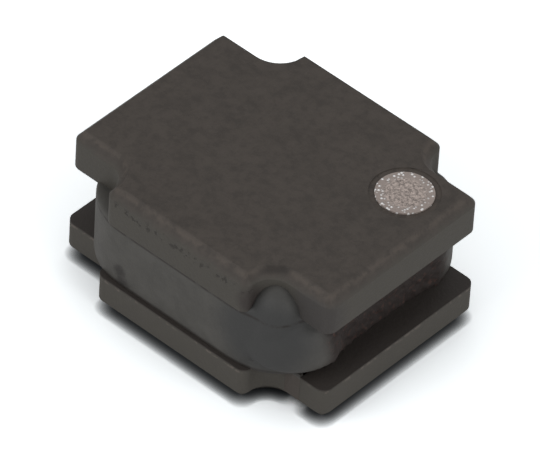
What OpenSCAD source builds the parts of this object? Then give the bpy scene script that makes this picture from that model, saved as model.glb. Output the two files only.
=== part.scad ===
// Shielded wire-wound power inductor for surface mounting.
// A one-piece ferrite drum core carries a coil of enamelled wire. Magnetic
// resin fills the space between the two flanges and covers the coil. Each wire
// end leaves through a corner notch, turns under the lower flange and is
// soldered into a groove of the terminal there.
// The origin is the middle of the footprint, on the board. +X runs along the
// length to the end with the polarity dot, +Z is up.

/* [Core] */
// Length of the lower flange, along X
core_l = 2.5; // [2.4:0.05:2.8]
// Width of the lower flange, along Y
core_w = 2.1; // [2.05:0.05:2.4]
// How far the upper flange stands back from the lower one, on each side
top_inset = 0.015; // [0.005:0.005:0.03]
// Height of the lower flange's straight side
base_side = 0.225; // [0.2:0.005:0.3]
// Height of the upper flange's straight side
top_side = 0.245; // [0.22:0.005:0.32]
// Height of the winding space between the flanges
window_h = 0.53; // [0.44:0.01:0.7]
// Diameter of the post that the coil is wound on
post_d = 0.9; // [0.8:0.02:0.94]

/* [Flange outline] */
// Length of a corner notch, along X
notch_l = 0.56; // [0.5:0.01:0.6]
// Depth of a corner notch, along Y
notch_w = 0.25; // [0.245:0.005:0.27]
// Radius of the ears at the four outer corners
ear_r = 0.07; // [0.05:0.01:0.1]
// Radius of the shoulders where a notch begins
shoulder_r = 0.045; // [0.03:0.005:0.045]
// Radius of the hollow corner inside a notch
notch_r = 0.2; // [0.15:0.01:0.2]
// Height of the bevel round a flange's outer face
bevel_h = 0.085; // [0.06:0.005:0.1]
// How far that bevel goes in
bevel_w = 0.09; // [0.06:0.005:0.09]

/* [Winding] */
// Diameter of the enamelled wire
wire_d = 0.1; // [0.08:0.005:0.1]
// Free space between two neighbouring turns
turn_gap = 0.004; // [0.003:0.001:0.006]
// Free space between the wire and the core
wire_gap = 0.007; // [0.006:0.001:0.01]
// Radius of the wire's bends, along its middle line
bend_r = 0.07; // [0.07:0.005:0.08]

/* [Resin] */
// How far the resin stands back from the lower flange's long sides
resin_back = 0.03; // [0.02:0.005:0.05]
// Thickness of the resin over the coil at the two ends
resin_skin = 0.19; // [0.16:0.01:0.2]
// Radius of the resin's upright corners
resin_r = 0.53; // [0.48:0.01:0.55]
// Radius of the bulge that covers a wire end at its corner
bulge_r = 0.37; // [0.36:0.01:0.39]
// Radius at the foot of the resin's climb into the upper notch
climb_r = 0.175; // [0.15:0.005:0.18]

/* [Terminals and mark] */
// Thickness of a terminal's plating
pad_t = 0.03; // [0.02:0.005:0.04]
// Length of a terminal, along X
pad_l = 0.52; // [0.46:0.01:0.56]
// Width of the groove that holds a wire end
groove_w = 0.14; // [0.13:0.005:0.16]
// Diameter of the polarity dot
dot_d = 0.43; // [0.4:0.01:0.48]

/* [Hidden] */
$fn = 64;
ferrite = [0.27, 0.26, 0.24];
resin = [0.30, 0.30, 0.29];
copper = [0.62, 0.30, 0.16];
tin = [0.78, 0.78, 0.76];
silver_paint = [0.80, 0.74, 0.70];

// Heights, from the board up
core_bottom = pad_t;
base_edge = core_bottom + bevel_h;
base_top = base_edge + base_side;
top_under = base_top + window_h;
top_edge = top_under + top_side;
core_top = top_edge + bevel_h;

// Outline
half_l = core_l / 2;
notch_wall = core_w / 2 - notch_w;
top_l = core_l - 2 * top_inset;
top_w = core_w - 2 * top_inset;

// Wire ends: each drops through a slot in a notch wall and lies in a groove
lead_in = 0.3;
lead_x = half_l - lead_in;
lead_sink = 0.09;
lead_y = notch_wall - lead_sink;
lead_clear = wire_gap + 0.003 + wire_d / 2;
groove_roof = core_bottom + wire_d + wire_gap + 0.023;
groove_end = notch_wall - 0.19;
lead_z = groove_roof - 0.01 - wire_d / 2;
lead_end = groove_end - 0.1;

// Coil: four layers, the lowest turn of the outer three clears the start lead
layers = 4;
lay = wire_d + turn_gap;
first_r = post_d / 2 + wire_gap + wire_d / 2;
last_r = first_r + (layers - 1) * lay;
coil_r = last_r + wire_d / 2;
low_z = base_top + 0.005 + wire_d / 2;
full_turns = floor((top_under - low_z - wire_d / 2 - 0.005) / lay);
short_turns = full_turns - 1;
high_z = low_z + full_turns * lay;

// Angles where the straight leads touch the first and the last layer
lead_reach = norm([lead_x, lead_y]);
lead_run = sqrt(lead_reach * lead_reach - last_r * last_r);
start_angle = acos(first_r / lead_reach) - atan2(lead_y, lead_x);
finish_angle = 180 - atan2(lead_y, lead_x) - acos(last_r / lead_reach);
start_dir = [-sin(start_angle), cos(start_angle), 0];
finish_dir = [-sin(finish_angle), cos(finish_angle), 0];

// Angles from the start of the coil: each layer, then a step out to the next
step_angle = 15;
shift = 3 * step_angle;
end_1 = 360 * full_turns;
end_2 = end_1 + shift + 360 * short_turns;
end_3 = end_2 + shift + 360 * short_turns;
lead_offset = finish_angle - start_angle;
whole_turns = floor((end_3 + shift + 360 * short_turns - lead_offset) / 360);
coil_angle = 360 * whole_turns + lead_offset;
second_z = high_z - short_turns * lay;
finish_z = high_z - lay * (coil_angle - end_3 - shift) / 360;
radius_steps = [
    [0, first_r], [end_1, first_r],
    [end_1 + shift, first_r + lay], [end_2, first_r + lay],
    [end_2 + shift, first_r + 2 * lay], [end_3, first_r + 2 * lay],
    [end_3 + shift, last_r], [coil_angle, last_r]
];
height_steps = [
    [0, low_z], [end_1, high_z],
    [end_1 + shift, high_z], [end_2, second_z],
    [end_2 + shift, second_z], [end_3, high_z],
    [end_3 + shift, high_z], [coil_angle, finish_z]
];

// Resin
cavity_r = coil_r + 0.008;
resin_x = cavity_r + resin_skin;
resin_y = core_w / 2 - resin_back;
bulge_x = half_l - 0.09 - bulge_r;
bulge_y = resin_y - bulge_r;
bulge_z = base_top + 0.19;
climb_x = top_l / 2 - notch_l + 0.095;
climb_y = top_w / 2 - notch_w + 0.005;
climb_h = top_side - 0.045;
hole_r = low_z - base_top;
drop_r = hole_r + 0.005;
plug_t = lead_sink - drop_r - 0.002;

// Terminals
pad_x = half_l - bevel_w - 0.02 - pad_l / 2;
pad_w = 2 * (notch_wall - bevel_w) - 0.02;
solder_y = lead_y - bend_r - 0.005;

// Polarity dot, in a shallow round recess
dot_x = half_l - 0.4;
dot_y = notch_wall - 0.385;
dot_depth = 0.012;
recess_d = dot_d + 0.09;

// Places its child as it stands and turned half round about Z
module both_ways() {
    children();
    rotate([0, 0, 180]) children();
}

// A rectangle with round corners
module round_rect(l, w, r) {
    square([l - 2 * r, w], center = true);
    square([l, w - 2 * r], center = true);
    for (x = [-1, 1], y = [-1, 1])
        translate([x * (l / 2 - r), y * (w / 2 - r)]) circle(r = r);
}

// A flange's outline: two crossed rectangles with hollow corners
module flange_plan(l, w) {
    round_rect(l, w - 2 * notch_w, ear_r);
    round_rect(l - 2 * notch_l, w, shoulder_r);
    for (x = [-1, 1], y = [-1, 1])
        scale([x, y]) translate([l / 2 - notch_l, w / 2 - notch_w])
            difference() {
                square(notch_r);
                translate([notch_r, notch_r]) circle(r = notch_r);
            }
}

// A slab with round corners, full size below and bevelled to a smaller top
module bevel_slab(l, w, r) {
    intersection() {
        long_bevel(l, w);
        rotate([90, 0, 0]) linear_extrude(w + 1, center = true) bevel_section(l / 2);
        linear_extrude(bevel_h) round_rect(l, w, r);
    }
}

module long_bevel(l, w) {
    rotate([90, 0, 90]) linear_extrude(l + 1, center = true) bevel_section(w / 2);
}

module bevel_section(half) {
    polygon([[-half, 0], [half, 0], [half - bevel_w, bevel_h], [bevel_w - half, bevel_h]]);
}

// The bevel of a whole flange, its hollow corners included
module flange_bevel(l, w) {
    bevel_slab(l, w - 2 * notch_w, ear_r);
    bevel_slab(l - 2 * notch_l, w, shoulder_r);
    intersection() {
        long_bevel(l, w);
        for (quarter = [[0, 0, 0], [1, 0, 0], [0, 1, 0], [1, 1, 0]])
            mirror([quarter.x, 0, 0]) mirror([0, quarter.y, 0])
                translate([l / 2 - notch_l + notch_r, w / 2 - notch_w + notch_r, 0])
                    difference() {
                        translate([-notch_r - bevel_w, -notch_r - bevel_w, 0])
                            cube([notch_r + bevel_w, notch_r + bevel_w, bevel_h]);
                        cylinder(h = bevel_h, r1 = notch_r, r2 = notch_r + bevel_w);
                    }
    }
}

// The ferrite drum core: lower flange, post and upper flange in one piece
module core() {
    color(ferrite) difference() {
        union() {
            translate([0, 0, base_edge]) mirror([0, 0, 1]) flange_bevel(core_l, core_w);
            translate([0, 0, base_edge]) linear_extrude(base_side)
                flange_plan(core_l, core_w);
            translate([0, 0, base_top - 0.05]) cylinder(h = window_h + 0.1, d = post_d);
            translate([0, 0, top_under]) linear_extrude(top_side) flange_plan(top_l, top_w);
            translate([0, 0, top_edge]) flange_bevel(top_l, top_w);
        }
        both_ways() groove(groove_roof);
        both_ways() drop_slot();
        translate([dot_x, dot_y, core_top - dot_depth]) cylinder(h = 1, d = recess_d);
    }
}

// The groove under one end, from its notch inwards, up to a given height
module groove(height) {
    translate([lead_x - groove_w / 2, -core_w / 2, -1])
        cube([groove_w, groove_end + core_w / 2, height + 1]);
}

// The slot in a notch wall that takes a wire end down through the lower flange
module drop_slot() {
    translate([lead_x - groove_w / 2, -core_w / 2, -1])
        cube([groove_w, core_w / 2 - lead_y + lead_clear, base_top + 1 + hole_r]);
}

// Points of a quarter bend at a corner, between two square directions
function bend(corner, from, to) = [
    for (turn = [0 : 22.5 : 90])
        corner + bend_r * ((to - from) - to * cos(turn) + from * sin(turn))
];

// The wire's middle line, from the end in the right groove to the left one
function wire_path() = concat(
    [[lead_x, lead_end, lead_z]],
    bend([lead_x, -lead_y, lead_z], [0, -1, 0], [0, 0, 1]),
    bend([lead_x, -lead_y, low_z], [0, 0, 1], start_dir),
    [for (turn = [0 : step_angle : coil_angle - 2]) coil_point(turn)],
    [coil_point(coil_angle)],
    bend([-lead_x, lead_y, finish_z], finish_dir, [0, 0, -1]),
    bend([-lead_x, lead_y, lead_z], [0, 0, -1], [0, -1, 0]),
    [[-lead_x, -lead_end, lead_z]]
);

function coil_point(turn) =
    let (r = lookup(turn, radius_steps), angle = start_angle + turn)
    [r * cos(angle), r * sin(angle), lookup(turn, height_steps)];

function unit(v) = v / norm(v);

function heading(path, i) =
    unit(path[min(i + 1, len(path) - 1)] - path[max(i - 1, 0)]);

// The part of a direction that is square to the path at one of its points
function square_to(path, i, v) =
    let (ahead = heading(path, i)) unit(v - (v * ahead) * ahead);

// One side direction for each point, carried along without twisting
function side_directions(path) = [
    for (i = 0, side = [1, 0, 0]; i < len(path);
         i = i + 1, side = i < len(path) ? square_to(path, i, side) : side)
        side
];

// A round tube along a path, closed at both ends
module tube(path, d, facets) {
    sides = side_directions(path);
    rings = len(path);
    points = [
        for (i = [0 : rings - 1], k = [0 : facets - 1])
            let (up = cross(heading(path, i), sides[i]), angle = 360 * k / facets)
            path[i] + d / 2 * (cos(angle) * sides[i] + sin(angle) * up)
    ];
    start_cap = [for (k = [0 : facets - 1]) k];
    end_cap = [for (k = [facets - 1 : -1 : 0]) (rings - 1) * facets + k];
    skin = [
        for (i = [0 : rings - 2], k = [0 : facets - 1])
            let (a = i * facets + k, b = i * facets + (k + 1) % facets)
            each [[a, a + facets, b], [b, a + facets, b + facets]]
    ];
    polyhedron(points = points, faces = concat([start_cap, end_cap], skin));
}

// The coil and both wire ends, one unbroken length of enamelled wire
module winding() {
    color(copper) tube(wire_path(), wire_d, 8);
}

// Room in the resin for one wire end: a level slot and a drop to the flange
module lead_room(z, dir) {
    translate([lead_x, -lead_y, base_top - 0.01]) cylinder(h = z - base_top + 0.01, r = drop_r);
    translate([lead_x, -lead_y, z - hole_r]) rotate([0, 0, atan2(dir.y, dir.x)])
        linear_extrude(2 * hole_r) {
            circle(r = hole_r);
            translate([0, -hole_r]) square([lead_run, 2 * hole_r]);
        }
}

// The resin between the flanges, with a bulge over each wire end
module resin_fill() {
    color(resin) difference() {
        union() {
            translate([0, 0, base_top]) linear_extrude(window_h)
                round_rect(2 * resin_x, 2 * resin_y, resin_r);
            both_ways() bulge();
            both_ways() climb();
            both_ways() slot_plug();
        }
        translate([0, 0, base_top - 1]) cylinder(h = window_h + 2, r = cavity_r);
        lead_room(low_z, start_dir);
        rotate([0, 0, 180]) lead_room(finish_z, finish_dir);
    }
}

// The swelling over a wire end, between the flanges
module bulge() {
    intersection() {
        translate([bulge_x, -bulge_y, bulge_z]) sphere(r = bulge_r);
        translate([0, -core_w, base_top]) cube([core_l, core_w, window_h]);
    }
}

// The resin that climbs the hollow corner of the upper notch
module climb() {
    difference() {
        translate([climb_x, -climb_y, top_under]) cylinder(h = climb_h, r1 = climb_r, r2 = 0.02);
        translate([0, 0, top_under]) linear_extrude(top_side) flange_plan(top_l, top_w);
    }
}

// The resin that closes the mouth of a drop slot, flush with the notch wall
module slot_plug() {
    translate([lead_x - groove_w / 2, -notch_wall, base_edge])
        cube([groove_w, plug_t, base_side]);
}

// A plated terminal under the right end, slotted where the wire's groove runs in
module terminal() {
    difference() {
        translate([pad_x, 0, 0]) linear_extrude(pad_t) round_rect(pad_l, pad_w, 0.04);
        groove(groove_roof);
    }
}

module terminal_right() {
    color(tin) terminal();
}

module terminal_left() {
    color(tin) rotate([0, 0, 180]) terminal();
}

// Solder that fills the groove round the wire, level with the terminal
module solder() {
    difference() {
        translate([lead_x - groove_w / 2, -solder_y, 0])
            cube([groove_w, groove_end + solder_y, groove_roof]);
        translate([lead_x, lead_end + 0.002, lead_z]) rotate([90, 0, 0])
            cylinder(h = core_w, r = wire_d / 2 + 0.001);
    }
}

module solder_right() {
    color(tin) solder();
}

module solder_left() {
    color(tin) rotate([0, 0, 180]) solder();
}

// The printed dot that marks the first terminal, level with the top face
module polarity_dot() {
    color(silver_paint) translate([dot_x, dot_y, core_top - dot_depth])
        cylinder(h = dot_depth, d = dot_d);
}

core();
winding();
resin_fill();
terminal_left();
terminal_right();
solder_left();
solder_right();
polarity_dot();
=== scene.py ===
import math

import bmesh
import bpy
from mathutils import Matrix, Vector


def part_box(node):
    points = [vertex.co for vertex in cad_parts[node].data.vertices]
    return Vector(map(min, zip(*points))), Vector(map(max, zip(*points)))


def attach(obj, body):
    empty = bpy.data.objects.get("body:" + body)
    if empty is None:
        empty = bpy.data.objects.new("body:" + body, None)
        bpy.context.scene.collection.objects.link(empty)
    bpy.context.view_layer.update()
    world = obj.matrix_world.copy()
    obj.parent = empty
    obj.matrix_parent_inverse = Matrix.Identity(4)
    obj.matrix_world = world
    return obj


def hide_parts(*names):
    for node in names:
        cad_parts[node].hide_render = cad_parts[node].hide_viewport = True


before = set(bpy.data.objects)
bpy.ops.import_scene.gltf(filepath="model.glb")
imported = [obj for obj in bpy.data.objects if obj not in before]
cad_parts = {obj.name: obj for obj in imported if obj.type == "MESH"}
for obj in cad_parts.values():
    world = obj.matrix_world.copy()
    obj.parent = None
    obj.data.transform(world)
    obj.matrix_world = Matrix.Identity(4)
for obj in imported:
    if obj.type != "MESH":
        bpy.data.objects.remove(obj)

bl_info = {
    "name": "Shielded SMD inductor",
    "version": (1, 0, 0),
    "blender": (4, 5, 0),
    "location": "3D View > Sidebar > Inductor",
    "description": "Builds the looks of a resin shielded surface mount inductor on its CAD frame",
    "category": "Add Mesh",
}

# The pieces are modelled in millimetres and made metres at the end
MM = 1000.0


def box_mm(name):
    """The lowest and highest corner of a CAD node."""
    low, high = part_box(name)
    return Vector(low) * MM, Vector(high) * MM


CORE_LOW, CORE_HIGH = box_mm("core")
RESIN_HIGH = box_mm("resin_fill")[1]
DOT_LOW, DOT_HIGH = box_mm("polarity_dot")
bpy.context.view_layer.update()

# Heights of the core, from the board up
BEVEL_HIGH = 0.085
LOWER_PLATE = 0.225
UPPER_PLATE = 0.245
BASE_EDGE = CORE_LOW.z + BEVEL_HIGH
BASE_TOP = BASE_EDGE + LOWER_PLATE
TOP_EDGE = CORE_HIGH.z - BEVEL_HIGH
TOP_UNDER = TOP_EDGE - UPPER_PLATE

# Outline of the flanges, and the post between them
HALF_L = CORE_HIGH.x
HALF_W = CORE_HIGH.y
BEVEL_IN = 0.07
NOTCH_L = 0.56
LOWER_NOTCH_L = 0.535
NOTCH_W = 0.25
EAR_R = 0.08
SHOULDER_R = 0.073
HOLLOW_R = 0.172
TOP_INSET = 0.015
POST_R = 0.45
POST_GRIP = 0.05
# Half length, half width, notch length, lower and upper level, and the way it faces
LOWER_FLANGE = (HALF_L, HALF_W, LOWER_NOTCH_L, BASE_EDGE, BASE_TOP, -1)
UPPER_FLANGE = (HALF_L - TOP_INSET, HALF_W - TOP_INSET, NOTCH_L, TOP_UNDER, TOP_EDGE, 1)

# Wire ends, with their grooves and the slots that lead down to them
LEAD_IN = 0.3
LEAD_X = HALF_L - LEAD_IN
GROOVE_W = 0.14
GROOVE_HIGH = 0.13
GROOVE_ROOF = CORE_LOW.z + GROOVE_HIGH
GROOVE_SHORT = 0.19
GROOVE_END = HALF_W - NOTCH_W - GROOVE_SHORT
SLOT_END = 0.65
PLUG_T = 0.028

# Resin: its body between the flanges
CAVITY_R = 0.877
RESIN_WALL = 0.19
RESIN_X = CAVITY_R + RESIN_WALL
RESIN_Y = RESIN_HIGH.y
RESIN_CORNER_R = 0.53
RESIN_BACK_CORNER_R = 0.43
SMOOTH_ROUNDS = 45
# How far its rough shape runs into the flanges before they cut it, and a plug into it
GRIP = 0.02

# Resin: the bulge over a wire end, whose foot is set back, and its climb up the notch
BULGE_R = 0.37
BULGE_LIFT = 0.19
BULGE_X = RESIN_HIGH.x - BULGE_R
BULGE_Y = RESIN_Y - BULGE_R
BULGE_Z = BASE_TOP + BULGE_LIFT
BULGE_FOOT = 0.08
FOOT_BACK_X = 0.03
FOOT_BACK_Y = 0.1
CLIMB_X = 0.77
CLIMB_Y = 0.79
CLIMB_HIGH = 0.2
CLIMB_SUNK = 0.01
CLIMB_DEEP = 0.19
NECK_R = 0.2

# Resin: the rough ends, which fade out sideways and are hollow in the middle
CRUMB_X = 0.8
CRUMB_Y = 0.75
CRUMB_FADE = 6.0
CRUMB_SIZE = 0.07
CRUMB_LEVEL = 0.35
END_X = 0.9
END_Y = 0.6
END_HOLLOW = 0.04

# Polarity dot, and the rings of its face: how far in and how far down
DOT_X = (DOT_LOW.x + DOT_HIGH.x) / 2
DOT_Y = (DOT_LOW.y + DOT_HIGH.y) / 2
DOT_R = (DOT_HIGH.x - DOT_LOW.x) / 2
DOT_GAP = 0.045
DOT_RINGS = ((0.012, 0.0), (0.05, 0.0), (0.05, -0.003))

# Cutters run this far past what they cut, or well outside the part
CUT_PAST = 0.1
OUTSIDE = 2.0

# Painted shade on the ferrite: spots with their radius and soft edge, and a shaded groove in the
# front notch
FRONT_CORNER = ((1.12, -0.85, 0.98), 0.24, 0.1)
NOTCH_SHADE = ((0.72, -1.0, 0.98), 0.12, 0.05)
LONG_SIDE_Y = 0.97
MARK_CENTRE = (0.875, -0.985, CORE_HIGH.z)
MARK_R = 0.262
MARK_X = 0.73
LEDGE_SHADE_TONE = (0.026, 0.020, 0.018)

# Painted shade and marks on the resin
WIRE_CORNER = (0.8, 0.95, 0.7)
WIRE_CORNER_R = 0.36
BLOTCHES = ((-0.52, -1.02, 0.47), (-0.49, -1.02, 0.38))
BLOTCH_R = 0.05
HOLLOW_SHADE_TONE = (0.022, 0.019, 0.018)
SEAM_SHADE_TONE = (0.018, 0.013, 0.011)
DARK_END_X = 0.88
DARK_END_Y = 0.66

# The photograph's frame and the camera found from its edges
PHOTO_W = 540
PHOTO_H = 450
FOCAL_PX = 8052.0
CAMERA_AZIMUTH = -50.07
CAMERA_ELEVATION = 43.41
CAMERA_ROLL = 3.73
CAMERA_FAR = 57.03
AIM_Z = 0.691
AIM_PX = (272.4, 214.6)
SENSOR_MM = 36.0

# Stage, in metres and watts: each lamp's name, place, size and power
LAMPS = (
    ("key_light", (-0.03, -0.09, 0.055), 0.08, 0.035),
    ("side_light", (0.10, 0.0, 0.05), 0.08, 0.033),
    ("top_light", (-0.02, 0.03, 0.11), 0.10, 0.0125),
)
SKY_STRENGTH = 0.45
FLOOR_SIZE = 0.6
FLOOR_SEEN = (0.86, 0.92, 0.95)
FLOOR_PLAIN = (0.85, 0.85, 0.85)
FLOOR_SHADE = (0.012, 0.013, 0.015)
# The contact shadow's reach in millimetres, and how fast it deepens
SHADE_REACH = 0.1
SHADE_POWER = 3.0


class InductorSizes(bpy.types.PropertyGroup):
    """Sizes that a user would change"""

    edge_round: bpy.props.FloatProperty(
        name="Edge round", description="Radius of the ferrite's worn edges, in millimetres",
        default=0.014, min=0.002, max=0.04)
    resin_voxel: bpy.props.FloatProperty(
        name="Resin voxel", description="Size of the resin's remesh cells, in millimetres",
        default=0.012, min=0.008, max=0.03)
    crumb_height: bpy.props.FloatProperty(
        name="Crumb height", description="How far the resin's rough ends stand out, in millimetres",
        default=0.05, min=0.0, max=0.1)


class InductorColours(bpy.types.PropertyGroup):
    """Colours that a user would change"""

    ferrite: bpy.props.FloatVectorProperty(
        name="Ferrite", description="Colour of the sintered ferrite", subtype="COLOR",
        default=(0.060, 0.0505, 0.0435), min=0.0, max=1.0)
    resin: bpy.props.FloatVectorProperty(
        name="Resin", description="Colour of the magnetic resin", subtype="COLOR",
        default=(0.072, 0.069, 0.063), min=0.0, max=1.0)
    # The rough resin's dark colour holds painted shade as well as the resin's own colour
    crumbs: bpy.props.FloatVectorProperty(
        name="Rough resin", description="Colour of the rough resin at the ends", subtype="COLOR",
        default=(0.027, 0.020, 0.018), min=0.0, max=1.0)
    copper: bpy.props.FloatVectorProperty(
        name="Enamelled wire", description="Colour of the copper under its enamel", subtype="COLOR",
        default=(0.55, 0.17, 0.06), min=0.0, max=1.0)
    tin: bpy.props.FloatVectorProperty(
        name="Tin", description="Colour of the tin plating", subtype="COLOR",
        default=(0.62, 0.61, 0.58), min=0.0, max=1.0)
    dot: bpy.props.FloatVectorProperty(
        name="Dot", description="Colour of the silver print", subtype="COLOR",
        default=(0.62, 0.52, 0.47), min=0.0, max=1.0)


class Shade:
    """A socket of a material, with arithmetic that adds Math nodes."""

    def __init__(self, material, socket):
        self.material = material
        self.socket = socket

    def math(self, operation, *others):
        return node(self.material, "ShaderNodeMath", {"operation": operation},
                    dict(enumerate((self, *others))))

    def __add__(self, other):
        return self.math("ADD", other)

    __radd__ = __add__

    def __mul__(self, other):
        return self.math("MULTIPLY", other)

    __rmul__ = __mul__

    def __sub__(self, other):
        return self.math("SUBTRACT", other)

    def __rsub__(self, other):
        return (self * -1.0).math("ADD", other)

    def __pow__(self, other):
        return self.math("POWER", other)

    def above(self, level, soft):
        """0 below the level and 1 above it, over a soft step."""
        return node(self.material, "ShaderNodeMapRange", {"interpolation_type": "SMOOTHSTEP"},
                    {"Value": self, "From Min": level - soft, "From Max": level + soft})

    def band(self, middle, half, soft):
        """1 near a level and 0 away from it on both sides."""
        return (self - middle).math("ABSOLUTE").above(half, soft).math("MULTIPLY_ADD", -1.0, 1.0)


def node(material, kind, settings, values, output=0):
    """Add a node: its settings first, then the values or links of its sockets."""
    tree = material.node_tree
    made = tree.nodes.new(kind)
    for key, value in settings.items():
        setattr(made, key, value)
    for key, value in values.items():
        socket = made.inputs[key]
        if isinstance(value, Shade):
            tree.links.new(value.socket, socket)
        else:
            socket.default_value = (*value, 1.0) if socket.type == "RGBA" else value
    return Shade(material, made.outputs[output]) if made.outputs else None


def start_material(name):
    """A material whose nodes are still to be added."""
    material = bpy.data.materials.new(name)
    material.use_nodes = True
    material.node_tree.nodes.clear()
    return material


def place_mm(material):
    """The place on a piece, in millimetres."""
    place = node(material, "ShaderNodeTexCoord", {}, {}, "Object")
    return node(material, "ShaderNodeVectorMath", {"operation": "SCALE"}, {0: place, "Scale": MM})


def split(place, axes="XYZ"):
    """The named coordinates of a vector socket."""
    return [node(place.material, "ShaderNodeSeparateXYZ", {}, {0: place}, axis) for axis in axes]


def distance(place, centre):
    """How far a place is from a fixed point."""
    return node(place.material, "ShaderNodeVectorMath", {"operation": "DISTANCE"},
                {0: place, 1: centre}, "Value")


def noise(place, scale, detail=2.0, rough=0.5):
    """Soft random clouds between 0 and 1."""
    return node(place.material, "ShaderNodeTexNoise", {},
                {"Vector": place, "Scale": scale, "Detail": detail, "Roughness": rough}, "Fac")


def cells(place, scale):
    """The distance to the nearest of many scattered points."""
    return node(place.material, "ShaderNodeTexVoronoi", {}, {"Vector": place, "Scale": scale},
                "Distance")


def spot(place, centre, radius, soft):
    """1 inside a ragged ball round a point and 0 outside it."""
    ragged = noise(place, 30.0) * 0.05 - 0.025
    return 1.0 - (distance(place, centre) + ragged).above(radius, soft)


def blend(mask, low, high):
    """Mix two colours, or sockets of colours, by a mask."""
    return node(mask.material, "ShaderNodeMix", {"data_type": "RGBA"},
                {"Factor": mask, 6: low, 7: high}, 2)


def shift(colour, factor):
    """A colour made lighter or darker."""
    return tuple(c * factor for c in colour)


def tint(colour, factors):
    """A colour with a factor for each of its channels."""
    return tuple(c * factor for c, factor in zip(colour, factors))


def finish_material(material, colour, rough, height=None, strength=0.3, depth=0.01, metal=0.0,
                    specular=0.35, coat=0.0):
    """Join a colour, a roughness and a height to the shader and its output."""
    values = {"Base Color": colour, "Roughness": rough, "Metallic": metal,
              "Specular IOR Level": specular, "Coat Weight": coat}
    if height is not None:
        values["Normal"] = node(
            material, "ShaderNodeBump", {},
            {"Strength": strength, "Distance": depth / MM, "Height": height}, "Normal")
    shader = node(material, "ShaderNodeBsdfPrincipled", {}, values)
    node(material, "ShaderNodeOutputMaterial", {}, {"Surface": shader})
    return material


def ferrite_material(colours):
    """Sintered ferrite: mottled grain, pale worn edges with painted highlights, a few pits, painted
    light on the sides and painted shade in the pits, ledges and front notch.
    """
    material = start_material("sintered_ferrite")
    place = place_mm(material)
    x, y, z = split(place)
    base = tuple(colours.ferrite)
    cloud = noise(place, 5.0, 4.0, 0.6)
    blotch = noise(place, 14.0, 3.0, 0.6)
    grain = noise(place, 45.0, 3.0, 0.7)
    mottle = cloud * 0.35 + blotch * 0.4 + grain * 0.25
    tone = blend(mottle.above(0.5, 0.12), shift(base, 0.82), shift(base, 1.16))
    # Painted light: the sides are painted greyer and lighter than the brownish top
    wobble = blotch * 0.06 - 0.03
    side = 1.0 - (z + wobble).above(TOP_EDGE + 0.01, 0.03)
    tone = blend(side * 0.8, tone, tint(base, (1.16, 1.29, 1.28)))
    # The upper edge of the bevel is rubbed pale in patches: partly wear and partly a painted
    # highlight
    rub_and_highlight = (z + wobble * 0.4).band(CORE_HIGH.z - 0.022, 0.014, 0.016) * blotch.above(0.46, 0.12)
    tone = blend(rub_and_highlight * 0.6, tone, tint(base, (1.6, 1.55, 1.5)))
    # Sparse pits under the bevel of the two long sides, painted dark as painted shade in them
    pits = noise(place, 22.0, 2.0, 0.6).above(0.6, 0.05)
    pits = pits * (z + wobble).band(TOP_EDGE - 0.04, 0.03, 0.02)
    pits = pits * y.math("ABSOLUTE").above(LONG_SIDE_Y, 0.03)
    tone = blend(pits * 0.6, tone, shift(base, 0.35))
    # Painted shade: a dark groove line follows the bevel of the front notch, over a slight dent
    groove = (distance(place, MARK_CENTRE) + wobble * 0.3).band(MARK_R, 0.016, 0.012)
    groove = groove * x.band(MARK_X, 0.08, 0.03) * z.above(TOP_EDGE, 0.02)
    tone = blend(groove * 0.75, tone, shift(base, 0.3))
    # Painted shade on the ledges beside the window under the upper flange, on the front corner and
    # inside the front notch
    ledge_shade = z.band(BASE_TOP + 0.004, 0.012, 0.012)
    tone = blend(ledge_shade * 0.85, tone, LEDGE_SHADE_TONE)
    corner = spot(place, *FRONT_CORNER) * side
    tone = blend(corner * 0.8, tone, tint(base, (0.78, 0.84, 0.95)))
    inner_notch_shade = spot(place, *NOTCH_SHADE) * side
    tone = blend(inner_notch_shade * 0.75, tone, tint(base, (0.6, 0.56, 0.62)))
    # Chips along the lower flange's upper edge, pale as worn chips with a painted highlight
    chips_and_highlight = z.band(BASE_TOP - 0.02, 0.01, 0.006) * noise(place, 18.0, 2.0, 0.7).above(0.56, 0.05)
    tone = blend(chips_and_highlight * 0.7, tone, shift(base, 2.3))
    height = grain * 0.5 + blotch * 0.35 + cloud * 0.15 - pits * 1.2 - groove * 0.6
    return finish_material(material, tone, mottle * 0.15 + 0.55, height, 0.55, 0.014)


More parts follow.
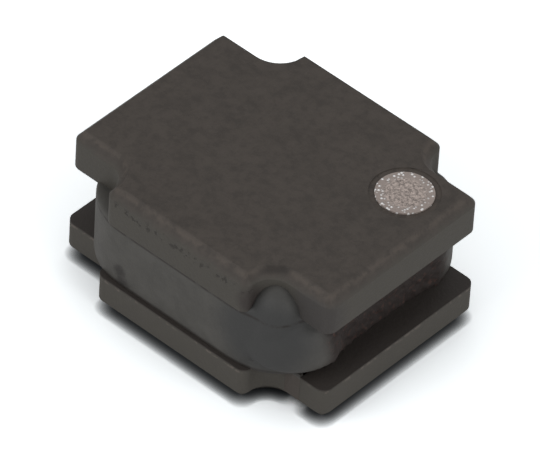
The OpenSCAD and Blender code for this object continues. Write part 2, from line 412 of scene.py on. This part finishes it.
def resin_material(colours):
    """Metal powder in resin: grey and smooth, dark and crumbly at the two ends, with painted shade
    at its corners, seams and ends.
    """
    material = start_material("magnetic_resin")
    place = place_mm(material)
    x, y, z = split(place)
    base = tuple(colours.resin)
    crumbs = tuple(colours.crumbs)
    ferrite = tuple(colours.ferrite)
    cloud = noise(place, 4.0, 4.0, 0.6)
    blotch = noise(place, 12.0, 3.0, 0.6)
    grain = noise(place, 60.0, 3.0, 0.7)
    mottle = (cloud * 0.6 + blotch * 0.4).above(0.5, 0.16)
    tone = blend(mottle, shift(base, 0.85), shift(base, 1.1))
    tone = blend(grain.above(0.5, 0.3) * 0.3, tone, shift(base, 1.25))
    # Painted shade: the corners over the wire ends are darker and bluer
    for side in (-1, 1):
        centre = (side * WIRE_CORNER[0], -side * WIRE_CORNER[1], WIRE_CORNER[2])
        dark = spot(place, centre, WIRE_CORNER_R, 0.14)
        tone = blend(dark * 0.9, tone, tint(base, (0.56, 0.6, 0.66)))
    # A thin uneven seam under the upper flange and along the foot, darkened with painted shade where
    # the resin meets the flanges
    seam_shade = z.band(TOP_UNDER - 0.024, 0.01, 0.008) * blotch.above(0.42, 0.12)
    foot = z.band(BASE_TOP + 0.01, 0.014, 0.012)
    tone = blend(seam_shade * 0.75 + foot * 0.6, tone, SEAM_SHADE_TONE)
    # Two small hollows hold shade near the left corner
    for centre in BLOTCHES:
        tone = blend(spot(place, centre, BLOTCH_R, 0.035) * 0.75, tone, HOLLOW_SHADE_TONE)
    # The two recessed ends are dark, partly from the rough resin and partly from painted shade, with
    # rusty crumbs
    ends = x.math("ABSOLUTE").above(DARK_END_X, 0.05)
    ends = ends * y.math("ABSOLUTE").band(0.0, DARK_END_Y, 0.08)
    rust = noise(place, 22.0, 3.0, 0.7).above(0.62, 0.08)
    tone = blend(ends, tone, blend(rust, crumbs, tint(crumbs, (2.4, 1.7, 1.5))))
    # The plugs below look like the ferrite that they close
    tone = blend(z.above(BASE_TOP - 0.015, 0.005), shift(ferrite, 1.1), tone)
    height = grain * 0.4 + blotch * 0.6
    return finish_material(material, tone, ends * 0.2 + 0.55, height, 0.5, 0.012)


def copper_material(colours):
    """Copper wire under clear enamel."""
    material = start_material("enamelled_copper")
    place = place_mm(material)
    base = tuple(colours.copper)
    tone = blend(noise(place, 12.0, 3.0, 0.6), shift(base, 0.8), shift(base, 1.15))
    return finish_material(material, tone, noise(place, 30.0) * 0.1 + 0.22, metal=1.0, coat=0.6)


def tin_material(name, colours, rough):
    """Tin with the soft ripples of plating or of set solder."""
    material = start_material(name)
    place = place_mm(material)
    base = tuple(colours.tin)
    ripple = noise(place, 9.0, 3.0, 0.55)
    grain = noise(place, 70.0, 2.0, 0.6)
    tone = blend(ripple.above(0.5, 0.3), shift(base, 0.82), shift(base, 1.1))
    return finish_material(material, tone, grain * 0.12 + rough, ripple * 0.7 + grain * 0.3,
                           0.4, 0.01, metal=1.0)


def dot_material(colours):
    """Silver print: bright grains, thickest at the rim, and a brown middle."""
    material = start_material("silver_print")
    place = place_mm(material)
    base = tuple(colours.dot)
    centred = node(material, "ShaderNodeVectorMath", {"operation": "SUBTRACT"},
                   {0: place, 1: (DOT_X, DOT_Y, 0.0)})
    x, y = split(centred, "XY")
    out = (x * x + y * y).math("SQRT") * (1.0 / DOT_R)
    bright = cells(place, 32.0).above(0.32, 0.12)
    flakes = noise(place, 40.0, 3.0, 0.8)
    middle = blend(flakes.above(0.5, 0.15), shift(base, 0.35), shift(base, 0.95))
    rim = blend(bright, (0.95, 0.93, 0.92), shift(base, 0.55))
    tone = blend((out + flakes * 0.2).above(0.82, 0.1), middle, rim)
    return finish_material(material, tone, flakes * 0.3 + 0.3, flakes * 0.5 - bright * 0.5,
                           0.8, 0.015, metal=0.25, specular=0.6)


def floor_material():
    """A white floor: brighter than white to the camera, so that only deep shadow shows, with a
    contact shadow painted into its colour where little sky reaches.
    """
    material = start_material("pale_floor")
    open_sky = node(material, "ShaderNodeAmbientOcclusion", {"samples": 16},
                    {"Distance": SHADE_REACH / MM}, "AO") ** SHADE_POWER
    matte = node(material, "ShaderNodeBsdfDiffuse", {},
                 {"Color": blend(open_sky, FLOOR_SHADE, FLOOR_PLAIN)})
    bright = node(material, "ShaderNodeBsdfDiffuse", {},
                  {"Color": blend(open_sky, FLOOR_SHADE, FLOOR_SEEN)})
    both = node(material, "ShaderNodeAddShader", {}, {0: matte, 1: bright})
    camera_ray = node(material, "ShaderNodeLightPath", {}, {}, "Is Camera Ray")
    mixed = node(material, "ShaderNodeMixShader", {}, {0: camera_ray, 1: matte, 2: both})
    node(material, "ShaderNodeOutputMaterial", {}, {"Surface": mixed})
    return material


def fresh():
    """Leave object mode ready, with nothing selected."""
    if bpy.context.mode != "OBJECT":
        bpy.ops.object.mode_set(mode="OBJECT")
    bpy.ops.object.select_all(action="DESELECT")


def only(piece):
    """Select one piece alone and make it active."""
    fresh()
    piece.select_set(True)
    bpy.context.view_layer.objects.active = piece


def named(name):
    """Name the primitive that was just added."""
    piece = bpy.context.object
    piece.name = name
    piece.data.name = name
    return piece


def settle(piece):
    """Put a piece's place and size into its mesh."""
    only(piece)
    bpy.ops.object.transform_apply(location=True, rotation=True, scale=True)
    return piece


def block(name, low, high):
    """A box between two corners."""
    fresh()
    size = Vector(high) - Vector(low)
    bpy.ops.mesh.primitive_cube_add(size=1, location=(Vector(high) + Vector(low)) / 2, scale=size)
    return settle(named(name))


def cylinder(name, r, low, high, x=0.0, y=0.0):
    """An upright cylinder between two levels."""
    fresh()
    bpy.ops.mesh.primitive_cylinder_add(vertices=64, radius=r, depth=high - low,
                                        location=(x, y, (low + high) / 2))
    return settle(named(name))


def choose(piece, kind, test):
    """Select the faces, edges or vertices of a piece in edit mode by a test."""
    bpy.ops.mesh.select_mode(type={"faces": "FACE", "edges": "EDGE", "verts": "VERT"}[kind])
    bpy.ops.mesh.select_all(action="DESELECT")
    mesh = bmesh.from_edit_mesh(piece.data)
    found = [part for part in getattr(mesh, kind) if test(part)]
    if not found:
        raise RuntimeError(f"no {kind} chosen on {piece.name}")
    for part in found:
        part.select = True
    mesh.select_flush_mode()
    bmesh.update_edit_mesh(piece.data)


def middle_of(edge):
    """The middle of an edge."""
    return (edge.verts[0].co + edge.verts[1].co) / 2


def upright(edge):
    """Whether an edge runs up and down."""
    run = edge.verts[1].co - edge.verts[0].co
    return abs(run.z) > 0.9 * run.length


def near(a, b):
    """Whether two sizes are the same to 2 micrometres."""
    return abs(a - b) < 0.002


def add_modifier(piece, kind, **values):
    """Give a piece a modifier, which is applied later."""
    modifier = piece.modifiers.new(kind.lower(), kind)
    for key, value in values.items():
        setattr(modifier, key, value)


def apply_modifiers(piece):
    """Turn a piece's modifiers into its mesh, in their order."""
    only(piece)
    for modifier in list(piece.modifiers):
        bpy.ops.object.modifier_apply(modifier=modifier.name)
    if not piece.data.polygons:
        raise RuntimeError(f"nothing is left of {piece.name}")


def combine(piece, other, operation):
    """Add, cut or keep by another piece, which is then removed."""
    add_modifier(piece, "BOOLEAN", operation=operation, solver="EXACT", object=other)
    apply_modifiers(piece)
    bpy.data.objects.remove(other, do_unlink=True)


def smooth(piece, angle):
    """Shade a piece smooth, apart from edges sharper than an angle in degrees."""
    only(piece)
    bpy.ops.object.shade_smooth_by_angle(angle=math.radians(angle))


def hand_over(piece, material, slot, *nodes):
    """Make a piece metres, give it its finish and tie it to the frame."""
    piece.scale = (1 / MM,) * 3
    settle(piece)
    piece.data.materials.clear()
    piece.data.materials.append(material)
    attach(piece, "root")
    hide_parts(*nodes)


def flange(name, half_l, half_w, notch_l, low, high, face_up):
    """A notched plate with a bevelled outer face, shaped from one block."""
    wall = half_w - NOTCH_W
    shoulder_x = half_l - notch_l
    piece = block(name, (-shoulder_x, -half_w, low), (shoulder_x, half_w, high))
    bpy.ops.object.mode_set(mode="EDIT")
    for y in (-wall, wall):
        bpy.ops.mesh.select_all(action="SELECT")
        bpy.ops.mesh.bisect(plane_co=(0, y, 0), plane_no=(0, 1, 0))
    for side in (-1, 1):
        choose(piece, "faces", lambda f: f.normal.x * side > 0.9
               and abs(f.calc_center_median().y) < wall)
        bpy.ops.mesh.extrude_region_move(TRANSFORM_OT_translate={"value": (side * notch_l, 0, 0)})
    rounds = (
        (half_l, wall, EAR_R, 8),
        (shoulder_x, half_w, SHOULDER_R, 8),
        (shoulder_x, wall, HOLLOW_R, 10),
    )
    for x, y, r, steps in rounds:
        choose(piece, "edges", lambda e: upright(e) and near(abs(middle_of(e).x), x)
               and near(abs(middle_of(e).y), y))
        bpy.ops.mesh.bevel(offset=r, segments=steps, affect="EDGES")
    choose(piece, "faces", lambda f: f.normal.z * face_up > 0.9)
    bpy.ops.mesh.inset(thickness=BEVEL_IN, depth=BEVEL_HIGH)
    bpy.ops.object.mode_set(mode="OBJECT")
    return piece


def lead_channel(side):
    """The cutter of one groove and of the slot that leads down to it."""
    x, y = side * LEAD_X, -side
    ends = sorted((y * (HALF_W + CUT_PAST), -y * GROOVE_END))
    cutter = block("channel", (x - GROOVE_W / 2, ends[0], -CUT_PAST),
                   (x + GROOVE_W / 2, ends[1], GROOVE_ROOF))
    bpy.ops.object.mode_set(mode="EDIT")
    bpy.ops.mesh.select_all(action="SELECT")
    bpy.ops.mesh.bisect(plane_co=(0, y * SLOT_END, 0), plane_no=(0, 1, 0))
    choose(cutter, "faces", lambda f: f.normal.z > 0.9 and f.calc_center_median().y * y > SLOT_END)
    bpy.ops.mesh.extrude_region_move(TRANSFORM_OT_translate={"value": (0, 0, BASE_TOP)})
    bpy.ops.object.mode_set(mode="OBJECT")
    return cutter


def lead_plug(side):
    """The resin that closes the slot of one wire end."""
    x, wall = side * LEAD_X, HALF_W - NOTCH_W
    ends = sorted((-side * wall, -side * (wall - PLUG_T)))
    return block("plug", (x - GROOVE_W / 2, ends[0], BASE_EDGE),
                 (x + GROOVE_W / 2, ends[1], BASE_TOP + GRIP))


class INDUCTOR_OT_core(bpy.types.Operator):
    """Model the ferrite drum core: two notched flanges on a post"""

    bl_idname = "inductor.core"
    bl_label = "Ferrite core"

    def execute(self, context):
        core = flange("ferrite_core", *LOWER_FLANGE)
        upper = flange("upper_flange", *UPPER_FLANGE)
        for side in (-1, 1):
            combine(core, lead_channel(side), "DIFFERENCE")
        recess = cylinder("recess", DOT_R + DOT_GAP, DOT_LOW.z, OUTSIDE, DOT_X, DOT_Y)
        combine(upper, recess, "DIFFERENCE")
        combine(core, cylinder("post", POST_R, BASE_TOP - POST_GRIP, TOP_UNDER + POST_GRIP), "UNION")
        combine(core, upper, "UNION")
        add_modifier(core, "BEVEL", width=context.scene.inductor_sizes.edge_round, segments=3,
                     limit_method="ANGLE", angle_limit=math.radians(30))
        apply_modifiers(core)
        smooth(core, angle=40)
        hand_over(core, ferrite_material(context.scene.inductor_colours), "ferrite", "core")
        return {"FINISHED"}


class INDUCTOR_OT_resin(bpy.types.Operator):
    """Model the magnetic resin: flush sides, two bulges and two crumbly ends"""

    bl_idname = "inductor.resin"
    bl_label = "Magnetic resin"

    def execute(self, context):
        sizes = context.scene.inductor_sizes
        body = block("resin", (-RESIN_X, -RESIN_Y, BASE_TOP - GRIP),
                     (RESIN_X, RESIN_Y, TOP_UNDER + GRIP))
        bpy.ops.object.mode_set(mode="EDIT")
        for flank, r in ((1, RESIN_BACK_CORNER_R), (-1, RESIN_CORNER_R)):
            choose(body, "edges", lambda e: upright(e) and middle_of(e).y * flank > RESIN_Y / 2)
            bpy.ops.mesh.bevel(offset=r, segments=10, affect="EDGES")
        bpy.ops.object.mode_set(mode="OBJECT")
        for side in (-1, 1):
            self.add_bulge(body, side)
        add_modifier(body, "REMESH", mode="VOXEL", voxel_size=sizes.resin_voxel)
        add_modifier(body, "SMOOTH", factor=0.5, iterations=SMOOTH_ROUNDS)
        apply_modifiers(body)
        self.crumble(body, sizes.crumb_height)
        combine(body, flange("lower_cut", *LOWER_FLANGE), "DIFFERENCE")
        combine(body, flange("upper_cut", *UPPER_FLANGE), "DIFFERENCE")
        cavity = cylinder("cavity", CAVITY_R, BASE_TOP - CUT_PAST, TOP_UNDER + CUT_PAST)
        combine(body, cavity, "DIFFERENCE")
        for side in (-1, 1):
            combine(body, lead_plug(side), "UNION")
        smooth(body, angle=60)
        finish = resin_material(context.scene.inductor_colours)
        hand_over(body, finish, "magnetic_resin", "resin_fill")
        return {"FINISHED"}

    def add_bulge(self, body, side):
        """The swelling over one wire end, and its climb up the notch above."""
        bulge = self.ball("bulge", side, (BULGE_X, BULGE_Y, BULGE_Z), (BULGE_R,) * 3)
        bpy.ops.object.mode_set(mode="EDIT")
        choose(bulge, "verts", lambda v: v.co.z < BULGE_Z - BULGE_FOOT)
        bpy.ops.transform.translate(value=(-side * FOOT_BACK_X, side * FOOT_BACK_Y, 0))
        bpy.ops.object.mode_set(mode="OBJECT")
        window = block("window", (-OUTSIDE, -OUTSIDE, BASE_TOP - GRIP),
                       (OUTSIDE, OUTSIDE, TOP_UNDER + GRIP))
        combine(bulge, window, "INTERSECT")
        combine(body, bulge, "UNION")
        climb = self.ball("climb", side, (CLIMB_X, CLIMB_Y, TOP_UNDER - CLIMB_SUNK),
                          (NECK_R, CLIMB_DEEP, CLIMB_HIGH + CLIMB_SUNK))
        combine(body, climb, "UNION")
        neck = cylinder("neck", NECK_R, BULGE_Z, TOP_UNDER, side * CLIMB_X, -side * CLIMB_Y)
        combine(body, neck, "UNION")

    def ball(self, name, side, place, radii):
        """A stretched ball at a corner of the resin."""
        fresh()
        bpy.ops.mesh.primitive_uv_sphere_add(segments=64, ring_count=48, radius=1.0, scale=radii,
                                             location=(side * place[0], -side * place[1], place[2]))
        return settle(named(name))

    def crumble(self, body, height):
        """Hollow the two recessed ends a little, and stand rough crumbs out of them."""
        group = body.vertex_groups.new(name="ends")
        for vertex in body.data.vertices:
            x, y = vertex.co.xy
            if abs(x) > CRUMB_X and abs(y) < CRUMB_Y:
                group.add([vertex.index], min(1.0, (CRUMB_Y - abs(y)) * CRUMB_FADE), "REPLACE")
            if abs(x) > END_X:
                vertex.co.x -= math.copysign(END_HOLLOW * max(0.0, 1 - (y / END_Y) ** 2), x)
        crumbs = bpy.data.textures.new("crumbs", "CLOUDS")
        crumbs.noise_scale = CRUMB_SIZE
        crumbs.noise_depth = 4
        add_modifier(body, "DISPLACE", texture=crumbs, strength=height, mid_level=CRUMB_LEVEL,
                     vertex_group=group.name)
        apply_modifiers(body)


class INDUCTOR_OT_dot(bpy.types.Operator):
    """Model the silver polarity dot in its recess"""

    bl_idname = "inductor.dot"
    bl_label = "Polarity dot"

    def execute(self, context):
        dot = cylinder("silver_dot", DOT_R, DOT_LOW.z, DOT_HIGH.z, DOT_X, DOT_Y)
        bpy.ops.object.mode_set(mode="EDIT")
        choose(dot, "faces", lambda f: f.normal.z > 0.9)
        for thickness, depth in DOT_RINGS:
            bpy.ops.mesh.inset(thickness=thickness, depth=depth)
        bpy.ops.object.mode_set(mode="OBJECT")
        smooth(dot, angle=40)
        finish = dot_material(context.scene.inductor_colours)
        hand_over(dot, finish, "silver_mark", "polarity_dot")
        return {"FINISHED"}


class INDUCTOR_OT_metal(bpy.types.Operator):
    """Give the wire, the terminals and the solder their finishes"""

    bl_idname = "inductor.metal"
    bl_label = "Wire, terminals and solder"

    def execute(self, context):
        colours = context.scene.inductor_colours
        plate = tin_material("tin_plate", colours, rough=0.32)
        solder = tin_material("set_solder", colours, rough=0.2)
        finishes = {
            "winding": copper_material(colours),
            "terminal_left": plate,
            "terminal_right": plate,
            "solder_left": solder,
            "solder_right": solder,
        }
        for name, material in finishes.items():
            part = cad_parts[name]
            part.data.materials.clear()
            part.data.materials.append(material)
        return {"FINISHED"}


class INDUCTOR_OT_stage(bpy.types.Operator):
    """Set the pale floor, the lamps and the photograph's camera"""

    bl_idname = "inductor.stage"
    bl_label = "Stage"

    def execute(self, context):
        fresh()
        bpy.ops.mesh.primitive_plane_add(size=FLOOR_SIZE, location=(0, 0, 0))
        floor = named("floor")
        floor.data.materials.append(floor_material())
        for lamp in LAMPS:
            self.light(*lamp)
        world = bpy.data.worlds.new("studio")
        world.use_nodes = True
        sky = world.node_tree.nodes["Background"]
        sky.inputs["Color"].default_value = (1, 1, 1, 1)
        sky.inputs["Strength"].default_value = SKY_STRENGTH
        context.scene.world = world
        context.scene.view_settings.view_transform = "Standard"
        self.camera(context)
        return {"FINISHED"}

    def light(self, name, place, size, power):
        """A round soft lamp that faces the part."""
        bpy.ops.object.light_add(type="AREA", location=place)
        lamp = bpy.context.object
        lamp.name = name
        lamp.data.shape = "DISK"
        lamp.data.size = size
        lamp.data.energy = power
        lamp.rotation_euler = (-Vector(place)).to_track_quat("-Z", "Y").to_euler()

    def camera(self, context):
        """Aim along the photograph's view, rolled as it is, with its focal length."""
        azimuth = math.radians(CAMERA_AZIMUTH)
        elevation = math.radians(CAMERA_ELEVATION)
        back = Vector((math.cos(elevation) * math.cos(azimuth),
                       math.cos(elevation) * math.sin(azimuth), math.sin(elevation)))
        level = Vector((0, 0, 1)).cross(back).normalized()
        right = Matrix.Rotation(math.radians(CAMERA_ROLL), 3, back) @ level
        up = back.cross(right)
        scale = CAMERA_FAR / FOCAL_PX
        centre = Vector((0, 0, AIM_Z))
        centre += right * (PHOTO_W / 2 - AIM_PX[0]) * scale
        centre -= up * (PHOTO_H / 2 - AIM_PX[1]) * scale
        place = (centre + back * CAMERA_FAR) / MM
        turn = Matrix((right, up, back)).transposed().to_4x4()
        bpy.ops.object.camera_add()
        camera = context.object
        camera.name = "photo_camera"
        camera.matrix_world = Matrix.Translation(place) @ turn
        camera.data.sensor_width = SENSOR_MM
        camera.data.lens = FOCAL_PX * SENSOR_MM / PHOTO_W
        camera.data.clip_start = 0.001
        camera.data.clip_end = 10.0
        context.scene.camera = camera


class INDUCTOR_PT_sidebar(bpy.types.Panel):
    """List the sizes, the colours and the steps"""

    bl_label = "Inductor"
    bl_idname = "INDUCTOR_PT_sidebar"
    bl_space_type = "VIEW_3D"
    bl_region_type = "UI"
    bl_category = "Inductor"

    def draw(self, context):
        layout = self.layout
        for group in (context.scene.inductor_sizes, context.scene.inductor_colours):
            for key in group.__annotations__:
                layout.prop(group, key)
        for operator in OPERATORS:
            layout.operator(operator.bl_idname)


GROUPS = (InductorSizes, InductorColours)
OPERATORS = (
    INDUCTOR_OT_core,
    INDUCTOR_OT_resin,
    INDUCTOR_OT_dot,
    INDUCTOR_OT_metal,
    INDUCTOR_OT_stage,
)


def register():
    for made in GROUPS + OPERATORS + (INDUCTOR_PT_sidebar,):
        bpy.utils.register_class(made)
    bpy.types.Scene.inductor_sizes = bpy.props.PointerProperty(type=InductorSizes)
    bpy.types.Scene.inductor_colours = bpy.props.PointerProperty(type=InductorColours)


def unregister():
    del bpy.types.Scene.inductor_colours
    del bpy.types.Scene.inductor_sizes
    for made in reversed(GROUPS + OPERATORS + (INDUCTOR_PT_sidebar,)):
        bpy.utils.unregister_class(made)


def main():
    register()
    bpy.ops.inductor.core()
    bpy.ops.inductor.resin()
    bpy.ops.inductor.dot()
    bpy.ops.inductor.metal()
    bpy.ops.inductor.stage()


if __name__ == "__main__":
    main()
